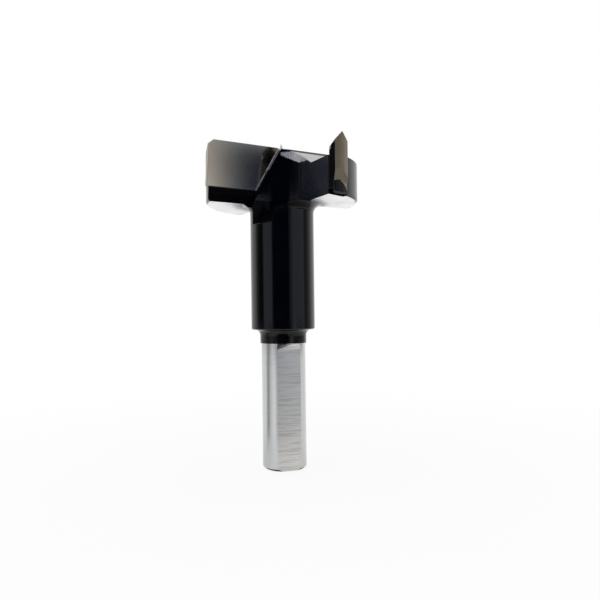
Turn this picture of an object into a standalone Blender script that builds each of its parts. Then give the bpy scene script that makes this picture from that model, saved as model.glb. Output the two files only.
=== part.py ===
"""Hinge-boring forstner bit with carbide cutters, standing on its shank.

The body is one turned and milled piece of steel: shank, neck, sleeve and a two-lobed head with a
centre point. Two main cutters are brazed into seats along the leading faces of the head, and two
spurs are brazed into slanted slots in its rim. All lengths are in metres, +Z is up, the tool's
axis is the Z axis and the origin is the middle of the shank's end face.
"""

import math

import bmesh
import bpy
from mathutils import Matrix, Vector

# Cutting edges, their leading faces and the relief behind them
CUTTING_DIAMETER = 0.0350
CUTTING_HEIGHT = 0.07275
WING_FACING = math.radians(208.0)
RAKE = math.radians(10.0)
PRIMARY_RELIEF = math.radians(22.0)
SECONDARY_RELIEF = math.radians(33.0)

# Turned body; the head is measured down and in from the cutting edges
SHANK_DIAMETER = 0.0100
SHANK_LENGTH = 0.0283
SHANK_CHAMFER = 0.0005
NECK_STEP = 0.00026
NECK_FILLET = 0.0014
NECK_LENGTH = 0.0031
SLEEVE_DIAMETER = 0.01446
SLEEVE_CHAMFER = 0.0002
SLEEVE_FILLET = 0.0022
RIM_SETBACK = 0.00032
HEAD_DEPTH = 0.0130
HEAD_EDGE_CHAMFER = 0.00045
LOBE_DROP = 0.00485

# Flat on the shank for the clamping screw
DRIVE_FLAT_DEPTH = 0.00078
DRIVE_FLAT_FACING = math.radians(-74.0)
DRIVE_FLAT_END = 0.0014
DRIVE_FLAT_RUN_OUT = 0.0014

# Main cutter plates
CUTTER_THICKNESS = 0.0023
CUTTER_HEIGHT = 0.00990
CUTTER_START = 0.0007
CUTTER_INNER_SLANT = math.radians(27.2)
CUTTER_CORNER = 0.0011
CUTTER_BACK_TAPER = 0.0001
CUTTER_SIDE_RELIEF = math.radians(12.0)

# Gullets in front of the leading faces; their floors run out below the head's underside
GULLET_OFFSET = 0.0029
GULLET_SETBACK = 0.0003
GULLET_CORNER = 0.0074
GULLET_DROP = 0.00025
GULLET_RUN_OUT_DROP = 0.00485
GULLET_SLOPE_START = 0.0020
GULLET_SLOPE_LENGTH = 0.0043

# Spurs in slanted seats at the trailing ends of the two lobes
SPUR_WIDTH = 0.00436
SPUR_THICKNESS = 0.0016
SPUR_SETBACK = 0.00053
SPUR_TURN = math.radians(-2.0)
SPUR_LEAN = math.radians(8.0)
SPUR_FOOT_RISE = 0.00135
SPUR_SKIN_RISE = 0.00235
SPUR_LEAD = 0.0001
SPUR_TIP_SHIFT = 0.0002
SPUR_LEADING_DROP = 0.00165
SPUR_TRAILING_DROP = 0.00215
SPUR_INNER_BEVEL = math.radians(39.0)

# Centre point
POINT_LEAD = 0.00105
POINT_HEIGHT = 0.0023
POINT_HALF_WIDTH = 0.0006
POINT_HALF_LENGTH = 0.0015

# Clearance that the brazing metal fills
BRAZE_GAP = 0.0003

# Fineness of the round forms, and how far cutters reach past what they cut
ROUND_STEPS = 96
FILLET_STEPS = 10
OVERSHOOT = 0.0040

# Levels and radii that follow from the sizes above
CUTTING_RADIUS = CUTTING_DIAMETER / 2.0
HEAD_RADIUS = CUTTING_RADIUS - RIM_SETBACK
HEAD_BOTTOM = CUTTING_HEIGHT - HEAD_DEPTH
LOBE_TOP = CUTTING_HEIGHT - LOBE_DROP
SLEEVE_BOTTOM = SHANK_LENGTH + NECK_LENGTH
SPUR_BACK = CUTTING_RADIUS - SPUR_THICKNESS
SPUR_TIP = CUTTING_HEIGHT + SPUR_LEAD
SPUR_BOTTOM = HEAD_BOTTOM + SPUR_FOOT_RISE
SPUR_EMERGES = HEAD_BOTTOM + SPUR_SKIN_RISE
SPUR_FACE_START = SPUR_EMERGES + BRAZE_GAP
POINT_TIP = CUTTING_HEIGHT + POINT_LEAD
TOP_REACH = POINT_TIP + OVERSHOOT

STEEL_BLACK = (0.012, 0.012, 0.014, 1.0)
CARBIDE_GREY = (0.22, 0.20, 0.18, 1.0)


def clear_scene():
    """Removes whatever the file holds, so that the part stands alone."""
    for obj in list(bpy.data.objects):
        bpy.data.objects.remove(obj, do_unlink=True)


def make_material(name, colour, metallic, roughness):
    """Gives a plain surface of one colour."""
    material = bpy.data.materials.new(name)
    material.use_nodes = True
    shader = material.node_tree.nodes["Principled BSDF"]
    shader.inputs["Base Color"].default_value = colour
    shader.inputs["Metallic"].default_value = metallic
    shader.inputs["Roughness"].default_value = roughness
    return material


def link_mesh(name, work):
    """Turns a bmesh into an object of the scene, with its faces pointing out."""
    bmesh.ops.recalc_face_normals(work, faces=work.faces)
    mesh = bpy.data.meshes.new(name)
    work.to_mesh(mesh)
    work.free()
    obj = bpy.data.objects.new(name, mesh)
    bpy.context.scene.collection.objects.link(obj)
    return obj


def turned(name, profile):
    """Spins a profile of (radius, height) points, both ends on the axis, about the Z axis."""
    work = bmesh.new()
    points = [work.verts.new((radius, 0.0, height)) for radius, height in profile]
    edges = [work.edges.new(pair) for pair in zip(points, points[1:])]
    bmesh.ops.spin(
        work,
        geom=points + edges,
        cent=(0.0, 0.0, 0.0),
        axis=(0.0, 0.0, 1.0),
        angle=math.tau,
        steps=ROUND_STEPS,
        use_merge=True,
    )
    bmesh.ops.remove_doubles(work, verts=work.verts, dist=1e-7)
    return link_mesh(name, work)


def prism(name, outline, low, high, frame, plane):
    """Extrudes an outline between two levels.

    The plane names the two axes of the frame that the outline's numbers follow, and the levels
    run along the third axis.
    """
    along = {"xy": 2, "xz": 1, "yz": 0}[plane]
    across = {"xy": (0, 1), "xz": (0, 2), "yz": (1, 2)}[plane]
    work = bmesh.new()
    corners = []
    for first, second in outline:
        point = Vector((0.0, 0.0, 0.0))
        point[across[0]] = first
        point[across[1]] = second
        point[along] = low
        corners.append(work.verts.new(point))
    base = work.faces.new(corners)
    grown = bmesh.ops.extrude_face_region(work, geom=[base])
    step = Vector((0.0, 0.0, 0.0))
    step[along] = high - low
    moved = [item for item in grown["geom"] if isinstance(item, bmesh.types.BMVert)]
    bmesh.ops.translate(work, verts=moved, vec=step)
    bmesh.ops.transform(work, matrix=frame, verts=work.verts)
    return link_mesh(name, work)


def arc(centre, radius, start, end):
    """Points of a round stretch from one angle to another, both ends included."""
    points = []
    for step in range(FILLET_STEPS + 1):
        angle = start + (end - start) * step / FILLET_STEPS
        points.append((centre[0] + radius * math.cos(angle), centre[1] + radius * math.sin(angle)))
    return points


def combine(target, tool, operation):
    """Joins, cuts or keeps what is common with another solid, which is then only a guide."""
    modifier = target.modifiers.new(tool.name, "BOOLEAN")
    modifier.operation = operation
    modifier.solver = "EXACT"
    modifier.object = tool
    tool.hide_render = True
    tool.display_type = "WIRE"
    return target


def wing_frame(turn):
    """Frame of one cutting wing: X out along the edge, Y ahead of its face, Z up the tool."""
    return Matrix.Rotation(WING_FACING + turn, 4, "Z")


def face_frame(turn):
    """Frame of one leading face: the edge is its X axis and the face is its XZ plane."""
    return (
        wing_frame(turn)
        @ Matrix.Translation((0.0, 0.0, CUTTING_HEIGHT))
        @ Matrix.Rotation(-RAKE, 4, "X")
    )


def spur_frame(turn):
    """Frame of one spur: X out from the axis, Y along the rim in the cutting direction.

    The spur is turned a little about its leading corner, so that its trailing side sits deeper.
    """
    corner = Vector((HEAD_RADIUS, SPUR_WIDTH / 2.0, 0.0))
    wall = math.asin(GULLET_OFFSET / CUTTING_RADIUS)
    bearing = wall + (SPUR_WIDTH / 2.0 + SPUR_SETBACK) / CUTTING_RADIUS - math.pi / 2.0
    return (
        Matrix.Rotation(WING_FACING + turn + bearing, 4, "Z")
        @ Matrix.Translation(corner)
        @ Matrix.Rotation(SPUR_TURN, 4, "Z")
        @ Matrix.Translation(-corner)
    )


def cylinder(name, radius, low, high):
    """A plain round bar on the tool's axis."""
    return turned(name, [(0.0, low), (radius, low), (radius, high), (0.0, high)])


def body_profile():
    """Half section of the turned blank, from the shank's end to above the centre point."""
    shank = SHANK_DIAMETER / 2.0
    neck = shank + NECK_STEP
    sleeve = SLEEVE_DIAMETER / 2.0
    head = HEAD_RADIUS
    profile = [(0.0, 0.0), (shank - SHANK_CHAMFER, 0.0), (shank, SHANK_CHAMFER)]
    profile += [(shank, SHANK_LENGTH), (neck, SHANK_LENGTH)]
    profile += arc(
        (neck + NECK_FILLET, SLEEVE_BOTTOM - NECK_FILLET), NECK_FILLET, math.pi, math.pi / 2.0
    )
    profile += [(sleeve - SLEEVE_CHAMFER, SLEEVE_BOTTOM), (sleeve, SLEEVE_BOTTOM + SLEEVE_CHAMFER)]
    profile += arc(
        (sleeve + SLEEVE_FILLET, HEAD_BOTTOM - SLEEVE_FILLET), SLEEVE_FILLET, math.pi, math.pi / 2.0
    )
    profile += [(head - HEAD_EDGE_CHAMFER, HEAD_BOTTOM), (head, HEAD_BOTTOM + HEAD_EDGE_CHAMFER)]
    profile += [(head, TOP_REACH), (0.0, TOP_REACH)]
    return profile


def lobe_limit():
    """Everything below the flat tops of the two lobes."""
    reach = CUTTING_DIAMETER
    outline = [(-reach, -OVERSHOOT), (reach, -OVERSHOOT), (reach, LOBE_TOP), (-reach, LOBE_TOP)]
    return prism("lobe_limit", outline, -reach, reach, wing_frame(0.0), "xz")


def edge_roof():
    """Ridge of steel that backs both cutting edges, with the relief ground on each side."""
    back = CUTTER_THICKNESS
    back_height = CUTTING_HEIGHT - back * math.tan(PRIMARY_RELIEF)
    foot_height = (HEAD_BOTTOM + LOBE_TOP) / 2.0
    foot = back + (back_height - foot_height) / math.tan(SECONDARY_RELIEF)
    outline = [
        (-foot, foot_height),
        (foot, foot_height),
        (back, back_height),
        (0.0, CUTTING_HEIGHT),
        (-back, back_height),
    ]
    reach = CUTTING_RADIUS + OVERSHOOT
    return prism("edge_roof", outline, -reach, reach, wing_frame(0.0), "yz")


def spur_lean_at(height):
    """How far out the spur's leaning outer face lies at a height."""
    return HEAD_RADIUS + (height - SPUR_EMERGES) * math.tan(SPUR_LEAN)


def spur_point_guide(name, turn):
    """The spur's pointed shape, seen from outside the rim and falling towards the axis."""
    half = SPUR_WIDTH / 2.0
    outline = [
        (-half, SLEEVE_BOTTOM),
        (half, SLEEVE_BOTTOM),
        (half, SPUR_TIP - SPUR_LEADING_DROP),
        (SPUR_TIP_SHIFT, SPUR_TIP),
        (-half, SPUR_TIP - SPUR_TRAILING_DROP),
    ]
    fall = Matrix.Identity(4)
    fall[2][0] = math.tan(SPUR_INNER_BEVEL)
    fall[2][3] = -math.tan(SPUR_INNER_BEVEL) * CUTTING_RADIUS
    inner = SPUR_BACK - OVERSHOOT
    outer = CUTTING_RADIUS + OVERSHOOT
    return prism(name, outline, inner, outer, spur_frame(turn) @ fall, "yz")


def centre_point():
    """Small four-sided point on the web between the two edges."""
    work = bmesh.new()
    tip = work.verts.new((0.0, 0.0, POINT_TIP))
    ring = []
    for level in (LOBE_TOP, POINT_TIP - POINT_HEIGHT):
        for along, ahead in ((1, 0), (0, 1), (-1, 0), (0, -1)):
            ring.append(
                work.verts.new((along * POINT_HALF_WIDTH, ahead * POINT_HALF_LENGTH, level))
            )
    low, high = ring[:4], ring[4:]
    work.faces.new(list(reversed(low)))
    for side in range(4):
        after = (side + 1) % 4
        work.faces.new((low[side], low[after], high[after], high[side]))
        work.faces.new((high[side], high[after], tip))
    bmesh.ops.transform(work, matrix=wing_frame(0.0), verts=work.verts)
    return link_mesh("centre_point", work)


def gullet_cutter(turn):
    """Chip gullet ahead of one edge: square corner with a large fillet, run out in the sleeve."""
    reach = CUTTING_DIAMETER
    floor = HEAD_BOTTOM - GULLET_DROP
    run_out = HEAD_BOTTOM - GULLET_RUN_OUT_DROP
    centre = (GULLET_CORNER - GULLET_OFFSET, GULLET_CORNER - GULLET_SETBACK)
    plan = [(-GULLET_OFFSET, reach)]
    plan += arc(centre, GULLET_CORNER, math.pi, 1.5 * math.pi)
    plan += [(reach, -GULLET_SETBACK), (reach, reach)]
    frame = wing_frame(turn)
    gullet = prism(f"gullet_{turn:.0f}", plan, run_out - OVERSHOOT, TOP_REACH, frame, "xy")
    side = [
        (-reach, floor),
        (GULLET_SLOPE_START, floor),
        (GULLET_SLOPE_START + GULLET_SLOPE_LENGTH, run_out),
        (reach + OVERSHOOT, run_out),
        (reach + OVERSHOOT, TOP_REACH + OVERSHOOT),
        (-reach, TOP_REACH + OVERSHOOT),
    ]
    guide = prism(f"gullet_side_{turn:.0f}", side, -reach, reach + OVERSHOOT, frame, "xz")
    return combine(gullet, guide, "INTERSECT")


def cutter_inner_edge(depth, margin):
    """Where the plate's slanted inner end lies at a depth below the cutting edge."""
    slant = CUTTER_INNER_SLANT
    return CUTTER_START + depth * math.tan(slant) - margin / math.cos(slant)


def face_cutter(turn):
    """Raked leading face of one wing, with the seat of its main cutter set back into it."""
    reach = CUTTING_DIAMETER
    depth = HEAD_DEPTH + OVERSHOOT
    seat_back = CUTTER_THICKNESS + BRAZE_GAP
    seat_depth = CUTTER_HEIGHT + BRAZE_GAP
    top_inner = cutter_inner_edge(0.0, BRAZE_GAP)
    low_inner = cutter_inner_edge(reach, BRAZE_GAP)
    steps = [
        (-seat_back, OVERSHOOT),
        (-seat_back, -seat_depth),
        (0.0, -seat_depth),
        (0.0, -depth),
        (GULLET_CORNER, -depth),
        (GULLET_CORNER, OVERSHOOT),
    ]
    front = [
        (top_inner, reach),
        (top_inner, 0.0),
        (low_inner, -reach),
        (low_inner + reach, -reach),
        (low_inner + reach, reach),
    ]
    cut = prism(f"face_{turn:.0f}", steps, -reach, reach, face_frame(turn), "yz")
    guide = prism(f"face_front_{turn:.0f}", front, -reach, reach, face_frame(turn), "xz")
    return combine(cut, guide, "INTERSECT")


def spur_seat(turn):
    """Slanted seat of one spur, through from the top to the underside, open to the gullet."""
    bottom = HEAD_BOTTOM - SLEEVE_FILLET
    back = SPUR_BACK - BRAZE_GAP
    outline = [
        (back, bottom),
        (spur_lean_at(bottom), bottom),
        (spur_lean_at(TOP_REACH), TOP_REACH),
        (back, TOP_REACH),
    ]
    leading = SPUR_WIDTH / 2.0 + BRAZE_GAP
    return prism(f"spur_seat_{turn:.0f}", outline, -SPUR_WIDTH, leading, spur_frame(turn), "xz")


def lobe_end_cutter(turn):
    """Trailing end of one lobe, milled flush with the side of its spur."""
    bottom = HEAD_BOTTOM - OVERSHOOT
    top = TOP_REACH + OVERSHOOT
    outer = CUTTING_RADIUS + SPUR_WIDTH
    outline = [(SPUR_BACK, bottom), (outer, bottom), (outer, top), (SPUR_BACK, top)]
    frame = spur_frame(turn)
    side = -SPUR_WIDTH / 2.0
    return prism(f"lobe_end_{turn:.0f}", outline, side - SPUR_WIDTH, side, frame, "xz")


def drive_flat_cutter():
    """Flat along the shank, with a rounded run-out under the neck."""
    bottom = -OVERSHOOT
    depth = SHANK_DIAMETER / 2.0 - DRIVE_FLAT_DEPTH
    outer = SHANK_DIAMETER
    end = SHANK_LENGTH - DRIVE_FLAT_END
    radius = DRIVE_FLAT_RUN_OUT
    outline = [(outer, bottom), (depth, bottom)]
    outline += arc((depth + radius, end), radius, math.pi, math.pi / 2.0)
    outline += [(outer, end + radius)]
    frame = Matrix.Rotation(DRIVE_FLAT_FACING, 4, "Z")
    return prism("drive_flat", outline, -SHANK_DIAMETER, SHANK_DIAMETER, frame, "xz")


def build_body(material):
    """Turns the blank, keeps what stands up from its lobes and mills every cut."""
    turns = (0.0, math.pi)
    upper = lobe_limit()
    combine(upper, edge_roof(), "UNION")
    combine(upper, centre_point(), "UNION")
    body = turned("body", body_profile())
    combine(body, upper, "INTERSECT")
    for turn in turns:
        combine(body, face_cutter(turn), "DIFFERENCE")
        combine(body, gullet_cutter(turn), "DIFFERENCE")
        combine(body, spur_seat(turn), "DIFFERENCE")
        combine(body, lobe_end_cutter(turn), "DIFFERENCE")
    combine(body, drive_flat_cutter(), "DIFFERENCE")
    body.data.materials.append(material)
    body.data.shade_smooth()
    body.data.set_sharp_from_angle(angle=math.radians(20.0))
    return body


def build_main_cutter(name, turn, material):
    """One carbide plate: its side view, front view and top view, each as a prism, in common."""
    frame = face_frame(turn)
    outer = CUTTING_RADIUS
    top_drop = CUTTER_THICKNESS * math.tan(PRIMARY_RELIEF + RAKE)
    section = [
        (-CUTTER_THICKNESS, -CUTTER_HEIGHT),
        (0.0, -CUTTER_HEIGHT),
        (0.0, 0.0),
        (-CUTTER_THICKNESS, -top_drop),
    ]
    front = [
        (cutter_inner_edge(CUTTER_HEIGHT + OVERSHOOT, 0.0), -CUTTER_HEIGHT - OVERSHOOT),
        (outer - CUTTER_BACK_TAPER, -CUTTER_HEIGHT - OVERSHOOT),
        (outer, -CUTTER_CORNER),
        (outer - CUTTER_CORNER - OVERSHOOT, OVERSHOOT),
        (cutter_inner_edge(-OVERSHOOT, 0.0), OVERSHOOT),
    ]
    side_drop = (CUTTER_THICKNESS + OVERSHOOT) * math.tan(CUTTER_SIDE_RELIEF)
    side_rise = OVERSHOOT * math.tan(CUTTER_SIDE_RELIEF)
    plan = [
        (-outer, -CUTTER_THICKNESS - OVERSHOOT),
        (outer - side_drop, -CUTTER_THICKNESS - OVERSHOOT),
        (outer + side_rise, OVERSHOOT),
        (-outer, OVERSHOOT),
    ]
    plate = prism(name, section, -outer, outer + OVERSHOOT, frame, "yz")
    reach = CUTTING_DIAMETER
    views = (("front", front, "xz"), ("plan", plan, "xy"))
    for view, outline, plane in views:
        guide = prism(f"{name}_{view}", outline, -reach, reach, frame, plane)
        combine(plate, guide, "INTERSECT")
    plate.data.materials.append(material)
    return plate


def build_spur(name, turn, material):
    """One carbide spur: a pointed plate with a flat back, ground round on its outer face."""
    half = SPUR_WIDTH / 2.0
    top = SPUR_TIP + OVERSHOOT
    section = [
        (SPUR_BACK, SPUR_BOTTOM),
        (spur_lean_at(SPUR_BOTTOM) - BRAZE_GAP, SPUR_BOTTOM),
        (spur_lean_at(SPUR_FACE_START) - BRAZE_GAP, SPUR_FACE_START),
        (spur_lean_at(SPUR_FACE_START), SPUR_FACE_START),
        (spur_lean_at(top), top),
        (SPUR_BACK, top),
    ]
    plate = prism(name, section, -half - OVERSHOOT, half + OVERSHOOT, spur_frame(turn), "xz")
    limit = cylinder(f"{name}_limit", CUTTING_RADIUS, HEAD_BOTTOM, top + OVERSHOOT)
    combine(plate, spur_point_guide(f"{name}_point", turn), "INTERSECT")
    combine(plate, limit, "INTERSECT")
    plate.data.materials.append(material)
    return plate


def main():
    clear_scene()
    steel = make_material("black_painted_steel", STEEL_BLACK, 0.0, 0.2)
    carbide = make_material("ground_carbide", CARBIDE_GREY, 1.0, 0.35)
    build_body(steel)
    for label, turn in (("a", 0.0), ("b", math.pi)):
        build_main_cutter(f"main_cutter_{label}", turn, carbide)
        build_spur(f"spur_{label}", turn, carbide)


main()
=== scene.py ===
# %% [markdown]
# # Dressing a hinge-boring forstner bit
# The solids of the bit are loaded first: the turned and milled body, two main cutting plates and
# two spurs. Nothing here changes their sizes. Each solid gets a dressed copy with softened edges
# and finishes, some of which carry painted shade or painted reflection, and the brazing metal that
# holds the plates is added between them.

# %% Load the solids
import math

import bmesh
import bpy
from mathutils import Matrix, Vector


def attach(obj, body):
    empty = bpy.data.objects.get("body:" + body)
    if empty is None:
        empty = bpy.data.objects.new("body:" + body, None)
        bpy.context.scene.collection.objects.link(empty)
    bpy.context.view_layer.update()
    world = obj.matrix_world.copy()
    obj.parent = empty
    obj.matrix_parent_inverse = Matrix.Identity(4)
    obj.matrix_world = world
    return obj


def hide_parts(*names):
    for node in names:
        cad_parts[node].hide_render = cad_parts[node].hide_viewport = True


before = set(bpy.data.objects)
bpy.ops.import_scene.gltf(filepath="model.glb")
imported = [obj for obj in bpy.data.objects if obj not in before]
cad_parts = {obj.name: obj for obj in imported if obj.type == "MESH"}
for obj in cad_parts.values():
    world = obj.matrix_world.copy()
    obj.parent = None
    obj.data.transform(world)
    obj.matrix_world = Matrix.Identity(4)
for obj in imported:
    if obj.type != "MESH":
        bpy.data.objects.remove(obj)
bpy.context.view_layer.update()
scene = bpy.context.scene
scene.view_settings.view_transform = "Standard"

# %% [markdown]
# ## Sizes that the dressing needs
# The seams follow the same numbers as the solids: where the cutting edge lies, how the plates are
# cut and how wide the gap is that the brazing metal fills. They are written here in millimetres,
# as on a drawing, and turned into metres where a mesh is made.

# %% Sizes from the drawing
MM = 0.001
CUTTING_RADIUS = 17.5
CUTTING_HEIGHT = 72.75
WING_FACING = math.radians(208.0)
RAKE = math.radians(10.0)
RELIEF = math.radians(22.0)
RIM_SETBACK = 0.32
HEAD_DEPTH = 13.0
LOBE_DROP = 4.85
GULLET_OFFSET = 2.9
SHANK_LENGTH = 28.3
SHANK_RADIUS = 5.0
FLAT_DEPTH = 0.78
FLAT_FACING = math.radians(-74.0)
PLATE_THICKNESS = 2.3
PLATE_HEIGHT = 9.9
PLATE_START = 0.7
PLATE_SLANT = math.radians(27.2)
SPUR_WIDTH = 4.36
SPUR_THICKNESS = 1.6
SPUR_SETBACK = 0.53
SPUR_FOOT_RISE = 1.35
SPUR_SKIN_RISE = 2.35
SPUR_TURN = math.radians(-2.0)
SPUR_LEAN = math.radians(8.0)
BRAZE_GAP = 0.3
ROUND_STEPS = 96

HEAD_RADIUS = CUTTING_RADIUS - RIM_SETBACK
HEAD_BOTTOM = CUTTING_HEIGHT - HEAD_DEPTH
LOBE_TOP = CUTTING_HEIGHT - LOBE_DROP
FLAT_RADIUS = SHANK_RADIUS - FLAT_DEPTH
SPUR_BACK = CUTTING_RADIUS - SPUR_THICKNESS
SPUR_BOTTOM = HEAD_BOTTOM + SPUR_FOOT_RISE
SPUR_EMERGES = HEAD_BOTTOM + SPUR_SKIN_RISE
SPUR_FACE_START = SPUR_EMERGES + BRAZE_GAP
WINGS = (("a", 0.0), ("b", math.pi))
print("head is", 2.0 * HEAD_RADIUS, "mm across and", HEAD_DEPTH, "mm deep")

# %% [markdown]
# Each wing has its own directions: along its cutting edge, ahead of its face and up the tool. A
# seam is easiest to draw in those, so a matrix for each takes a point from the drawing to the tool.

# %% Directions of a wing, its face and its spur
def wing_frame(turn):
    """X out along the cutting edge, Y ahead of its face, Z up the tool."""
    return Matrix.Rotation(WING_FACING + turn, 4, "Z")


def face_frame(turn):
    """The cutting edge is the X axis and the raked face is the XZ plane."""
    lift = Matrix.Translation((0.0, 0.0, CUTTING_HEIGHT))
    return wing_frame(turn) @ lift @ Matrix.Rotation(-RAKE, 4, "X")


def spur_frame(turn):
    """X out from the axis through the spur, Y along the rim in the cutting direction."""
    corner = Vector((HEAD_RADIUS, SPUR_WIDTH / 2.0, 0.0))
    gullet_wall = math.asin(GULLET_OFFSET / CUTTING_RADIUS)
    round_rim = (SPUR_WIDTH / 2.0 + SPUR_SETBACK) / CUTTING_RADIUS
    out = wing_frame(turn + gullet_wall + round_rim - math.pi / 2.0)
    small_turn = Matrix.Rotation(SPUR_TURN, 4, "Z")
    return out @ Matrix.Translation(corner) @ small_turn @ Matrix.Translation(-corner)


print("seams are laid out for", len(WINGS), "wings")

# %% [markdown]
# ## Meshes and objects
# Every piece is made in the same three steps: faces are built in a bmesh, the bmesh becomes a
# mesh, and an object carries the mesh in the scene. The last two steps are the same each time.

# %% Helpers for pieces
def into_scene(name, data):
    """A new object in the scene that carries a mesh, a lamp or a camera."""
    thing = bpy.data.objects.new(name, data)
    scene.collection.objects.link(thing)
    return thing


def mesh_from(name, work):
    """Turns a finished bmesh into a mesh."""
    mesh = bpy.data.meshes.new(name)
    work.to_mesh(mesh)
    work.free()
    return mesh


def made_plain(piece):
    """Gives a piece the mesh that its modifiers make, and takes the modifiers away."""
    evaluated = piece.evaluated_get(bpy.context.evaluated_depsgraph_get())
    shape = bpy.data.meshes.new_from_object(evaluated)
    piece.modifiers.clear()
    piece.data = shape
    return shape


print("piece helpers ready")

# %% [markdown]
# ## The camera
# The picture was taken from low down and quite near, level with the middle of the tool, so the
# head is seen from below and the shank from above. A level camera with a small shift keeps the
# tool upright in the picture, which a tilted camera would not.

# %% Camera at the picture's viewpoint
PICTURE_WIDTH = 600.0
FOCAL_LENGTH = 581.0
SENSOR_WIDTH = 36.0
CAMERA_DISTANCE = 0.1329
CAMERA_HEIGHT = 0.0353
CAMERA_ROLL = 0.0122

camera = into_scene("camera", bpy.data.cameras.new("camera"))
scene.camera = camera
camera.data.sensor_width = SENSOR_WIDTH
camera.data.lens = FOCAL_LENGTH / PICTURE_WIDTH * SENSOR_WIDTH
camera.data.clip_start = 0.001
camera.data.shift_x = 0.0283
camera.data.shift_y = 0.02
camera.matrix_world = (
    Matrix.Translation((0.0, -CAMERA_DISTANCE, CAMERA_HEIGHT))
    @ Matrix.Rotation(CAMERA_ROLL, 4, "Y")
    @ Matrix.Rotation(math.radians(90.0), 4, "X")
)
print("camera stands", round(camera.location.length, 4), "m from the shank's end")

# %% [markdown]
# ## Building node trees
# Every finish is a small tree of nodes. A few helpers keep the trees readable: one adds a node and
# joins its inputs, and the others add a colour ramp, a sum, a range or a mix of two colours. All
# patterns on the tool read Object coordinates, which are metres on the tool itself, so a mark
# keeps its real size from any side.

# %% Helpers for node trees
def put(tree, kind, inputs=None, **settings):
    """Adds a node, sets its properties, and joins or fills its inputs."""
    node = tree.nodes.new(kind)
    for key, value in settings.items():
        setattr(node, key, value)
    for key, value in (inputs or {}).items():
        if isinstance(value, bpy.types.NodeSocket):
            tree.links.new(value, node.inputs[key])
        else:
            node.inputs[key].default_value = value
    return node


def grey(level):
    """A colour without tint."""
    return (level, level, level)


def ramp(tree, factor, stops, smooth=True):
    """A colour ramp over 0 to 1; each stop is a place and a grey level or a colour."""
    node = put(tree, "ShaderNodeValToRGB", {"Fac": factor})
    elements = node.color_ramp.elements
    while len(elements) > 1:
        elements.remove(elements[-1])
    for index, (place, level) in enumerate(stops):
        element = elements[0] if index == 0 else elements.new(place)
        element.position = place
        shade = level if isinstance(level, tuple) else grey(level)
        element.color = (*shade, 1.0)
    node.color_ramp.interpolation = "EASE" if smooth else "LINEAR"
    return node.outputs["Color"]


def map_range(tree, value, span, levels=(0.0, 1.0), smooth=False):
    """Turns a span of values into a span of levels, and stays level past both ends."""
    kind = "SMOOTHSTEP" if smooth else "LINEAR"
    inputs = {0: value, 1: span[0], 2: span[1], 3: levels[0], 4: levels[1]}
    return put(tree, "ShaderNodeMapRange", inputs, interpolation_type=kind).outputs[0]


def math_node(tree, operation, first, second=0.0):
    """One sum on one or two values."""
    return put(tree, "ShaderNodeMath", {0: first, 1: second}, operation=operation).outputs[0]


def plus(tree, first, second):
    """The sum of two values."""
    return math_node(tree, "ADD", first, second)


def minus(tree, first, second):
    """The first value less the second."""
    return math_node(tree, "SUBTRACT", first, second)


def times(tree, first, second):
    """The product of two values."""
    return math_node(tree, "MULTIPLY", first, second)


def blend(tree, factor, first, second):
    """Mixes two colours by a factor."""
    colours = {}
    for key, value in ((6, first), (7, second)):
        colours[key] = (*value, 1.0) if isinstance(value, tuple) else value
    return put(tree, "ShaderNodeMix", {0: factor, **colours}, data_type="RGBA").outputs[2]


def shaded(tree, colour, shade):
    """Multiplies a colour by a grey pattern."""
    inputs = {0: 1.0, 6: colour, 7: shade}
    return put(tree, "ShaderNodeMix", inputs, data_type="RGBA", blend_type="MULTIPLY").outputs[2]


def bearing_share(tree, place):
    """How far round the tool a place lies: 0 and 1 behind it, 0.5 toward the camera."""
    part = put(tree, "ShaderNodeSeparateXYZ", {0: place})
    toward_camera = times(tree, part.outputs["Y"], -1.0)
    bearing = math_node(tree, "ARCTAN2", part.outputs["X"], toward_camera)
    return plus(tree, math_node(tree, "DIVIDE", bearing, math.tau), 0.5)


def at(degrees):
    """Place on the ramp of a bearing to the right of the camera."""
    return degrees / 360.0 + 0.5


print("node helpers ready")

# %% [markdown]
# ## Light
# Black gloss and ground steel show little of their own colour: what is seen on them is the room.
# A product table is white below and behind, open to white card at the sides and dark where the
# camera stands, and that gives the soft upright bands on the sleeve. The sky here is that room,
# written as a brightness for each bearing, once for the cards, once for the room above them and
# once for what lies past the table's edge, where a small card stands in front.

# %% Cards and walls round the tool, by bearing
WHITE_CARD = 1.0
LEFT_CARD = (0.68, 0.72, 0.84)
DARK_ROOM = (0.010, 0.014, 0.05)
WARM_WALL = (0.40, 0.36, 0.31)

world = bpy.data.worlds.new("studio")
scene.world = world
world.use_nodes = True
sky = world.node_tree
direction = put(sky, "ShaderNodeTexCoord").outputs["Generated"]
height = put(sky, "ShaderNodeSeparateXYZ", {0: direction}).outputs["Z"]
round_sky = bearing_share(sky, direction)
side_cards = ramp(sky, round_sky, [
    (at(-180.0), WHITE_CARD),
    (at(-116.0), WHITE_CARD),
    (at(-100.0), 0.24),
    (at(-92.0), 0.07),
    (at(-77.0), 0.04),
    (at(-68.0), LEFT_CARD),
    (at(-42.0), LEFT_CARD),
    (at(-33.0), DARK_ROOM),
    (at(20.0), DARK_ROOM),
    (at(29.0), (0.30, 0.34, 0.40)),
    (at(40.0), (0.66, 0.74, 0.84)),
    (at(78.0), (0.64, 0.72, 0.80)),
    (at(89.0), (0.17, 0.18, 0.22)),
    (at(98.0), 0.34),
    (at(128.0), WHITE_CARD),
    (at(180.0), WHITE_CARD),
])
upper_room = ramp(sky, round_sky, [
    (at(-180.0), 1.0),
    (at(-128.0), 0.85),
    (at(-105.0), 0.70),
    (at(-85.0), 0.30),
    (at(-65.0), 0.08),
    (at(-50.0), DARK_ROOM),
    (at(70.0), DARK_ROOM),
    (at(100.0), 0.36),
    (at(128.0), 1.0),
])
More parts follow.
